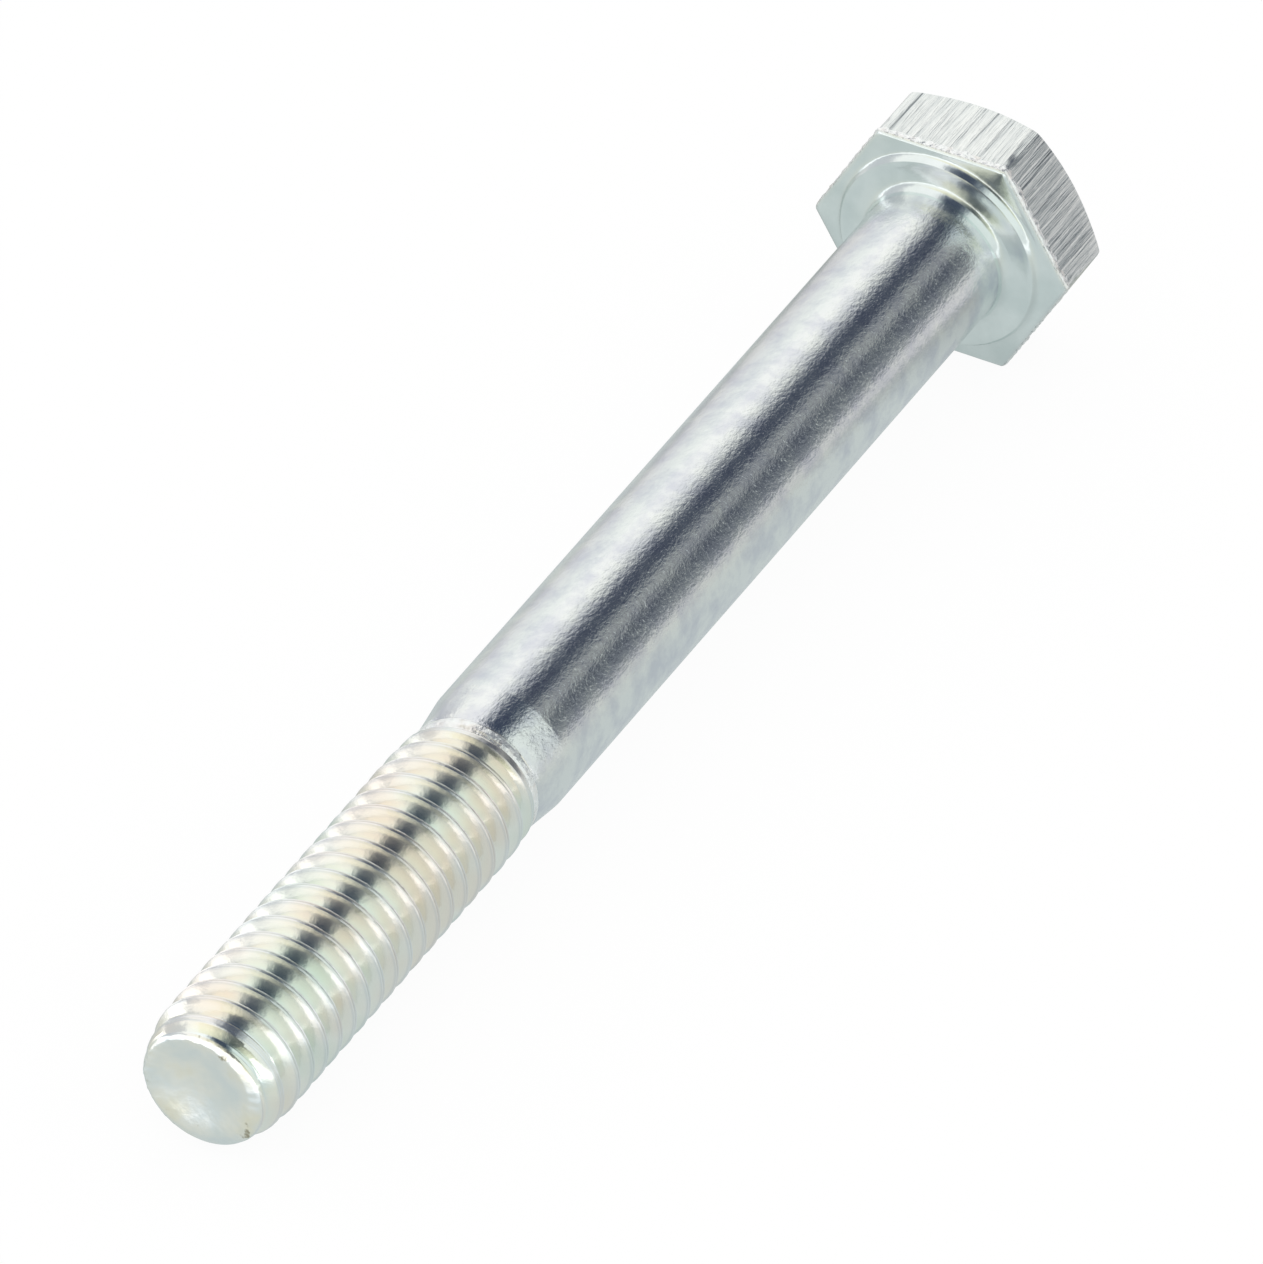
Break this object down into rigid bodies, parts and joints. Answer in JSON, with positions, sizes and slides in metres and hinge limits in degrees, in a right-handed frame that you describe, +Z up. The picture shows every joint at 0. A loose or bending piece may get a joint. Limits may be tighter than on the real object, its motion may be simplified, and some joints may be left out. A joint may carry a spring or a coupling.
{
  "type": "hex bolt",
  "caption": "Long hex bolt with a washer face, a plain shank and a rolled coarse thread on its outer third, in bright zinc-plated steel.",
  "frame": {"origin": "centre of the bearing face under the head, on the bolt's axis", "axes": "+X along the bolt's axis from the point to the head, +Z up, with one flat of the head facing down"},
  "size_m": [0.0812, 0.0146, 0.0128],
  "materials": {
    "zinc_plated_steel": "bright zinc plate, clear passivated"
  },
  "bodies": {
    "root": {"hex_bolt": "zinc_plated_steel"}
  },
  "joints": []
}
